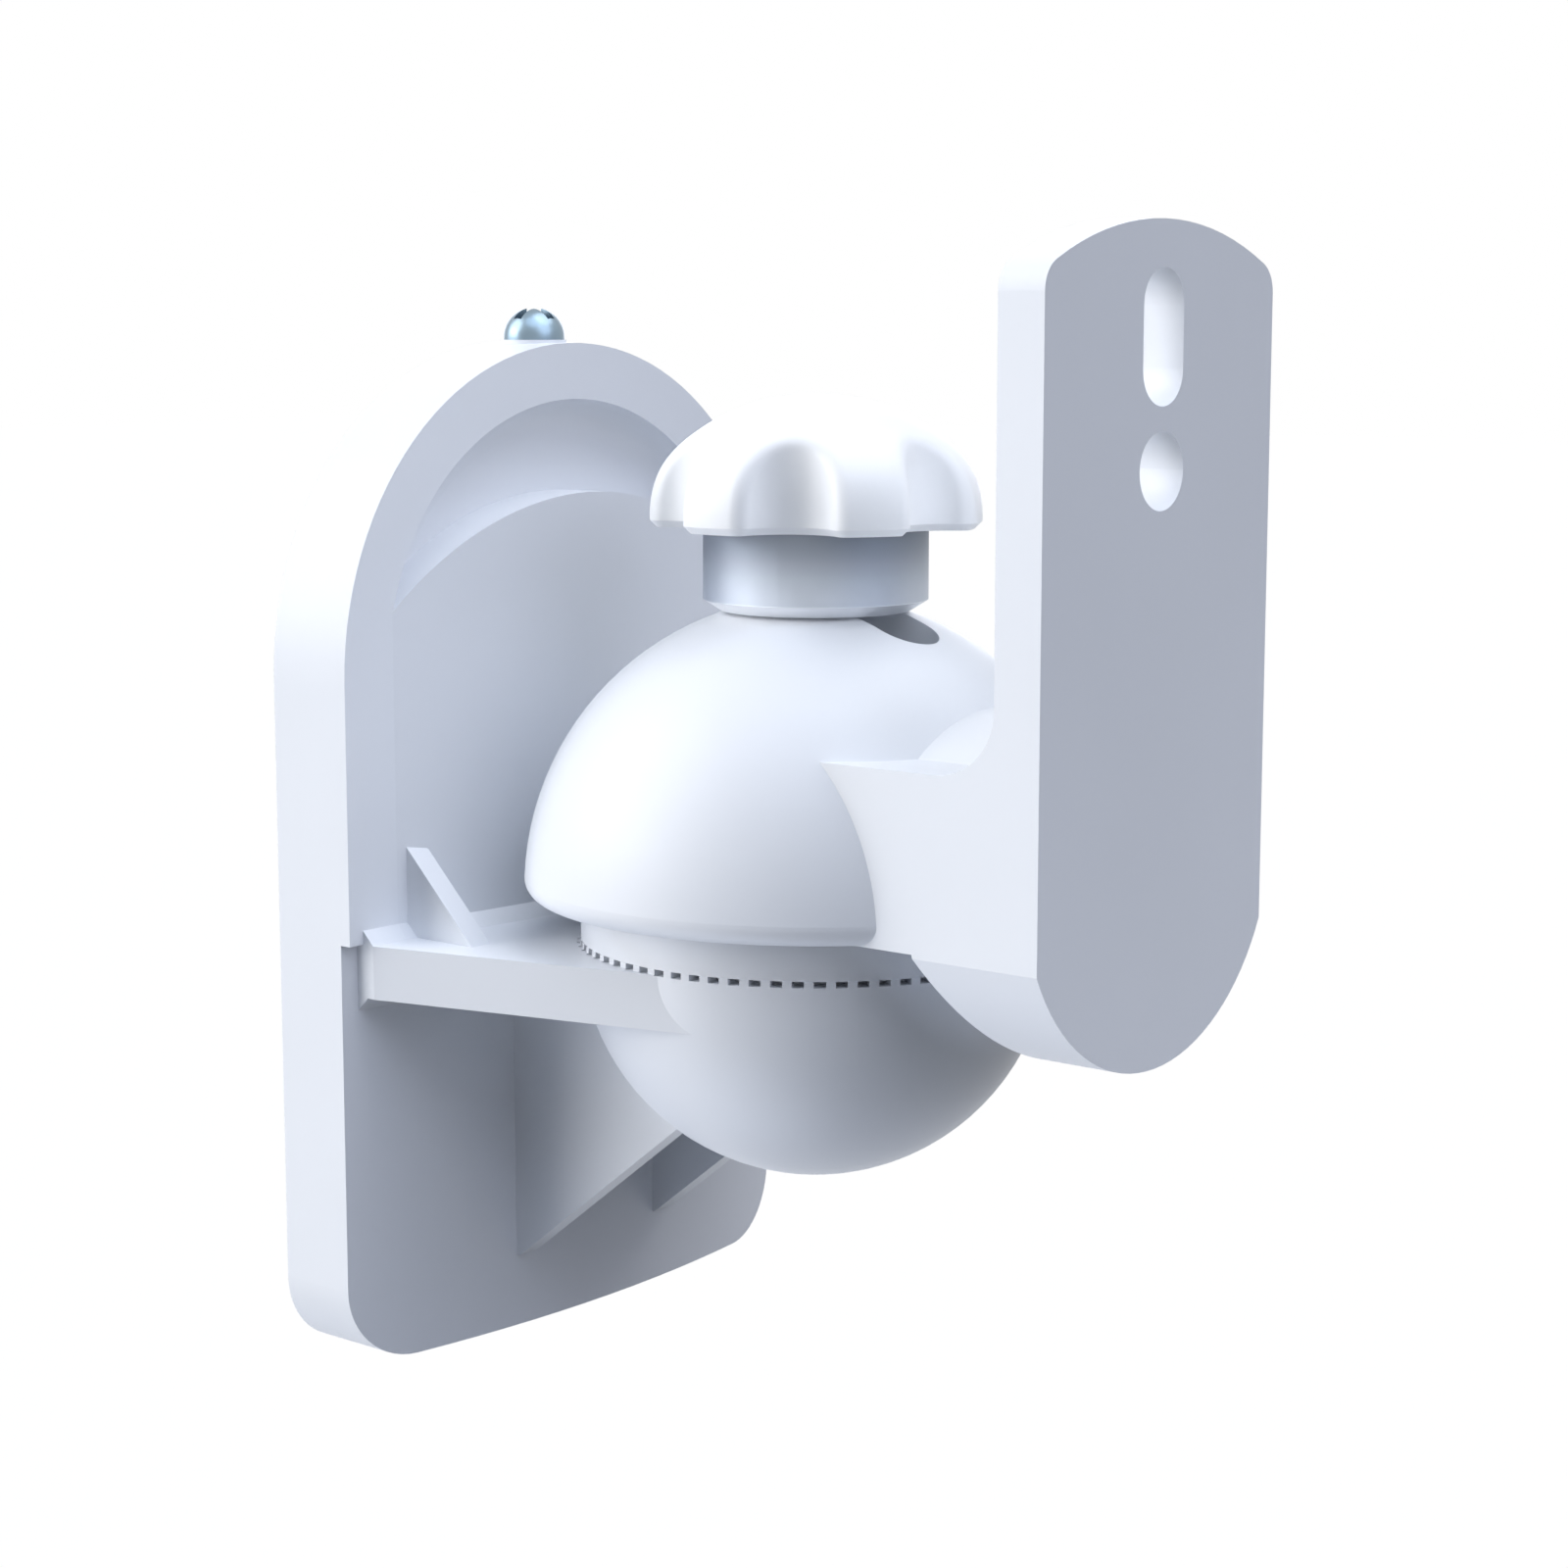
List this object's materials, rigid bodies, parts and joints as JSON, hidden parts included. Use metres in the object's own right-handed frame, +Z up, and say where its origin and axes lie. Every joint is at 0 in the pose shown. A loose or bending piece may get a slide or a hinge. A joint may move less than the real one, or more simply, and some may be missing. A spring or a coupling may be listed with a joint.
{
  "type": "speaker wall bracket",
  "caption": "Wall bracket for a small speaker: arched wall body with shelf and bowl, clamped ball joint with dome, hand knob and upright speaker plate.",
  "frame": {"origin": "on the wall plane, in the middle of the body's width, level with the top of the shelf", "axes": "+X to the right seen from the room, +Y into the wall, +Z up"},
  "size_m": [0.066, 0.083, 0.1142],
  "materials": {
    "white_plastic": "satin",
    "lock_screw_chrome": "polished",
    "zinc_sheet": "satin",
    "bolt_steel": "satin",
    "collar_metal": "satin",
    "insert_brass": "satin"
  },
  "bodies": {
    "wall_bracket": {"bracket_body": "white_plastic", "fixing_plate": "zinc_sheet", "lock_screw": "lock_screw_chrome", "clamp_bolt": "bolt_steel"},
    "swivel": {"swivel_hub": "white_plastic"},
    "speaker_arm": {"speaker_arm": "white_plastic"},
    "knob": {"clamp_knob": "white_plastic", "knob_insert": "insert_brass", "saddle_collar": "collar_metal"}
  },
  "joints": [
    {"name": "pan", "type": "hinge", "parent": "wall_bracket", "child": "swivel", "pos_m": [0, -0.0429, 0], "axis": [0, 0, 1], "range_deg": [-80, 80]},
    {"name": "tilt", "type": "hinge", "parent": "swivel", "child": "speaker_arm", "pos_m": [0, -0.0429, 0.0053], "axis": [1, 0, 0], "range_deg": [-9, 9]},
    {"name": "knob_turn", "type": "hinge", "parent": "wall_bracket", "child": "knob", "pos_m": [0, -0.0429, 0.0413], "axis": [0, 0, 1], "continuous": true}
  ]
}
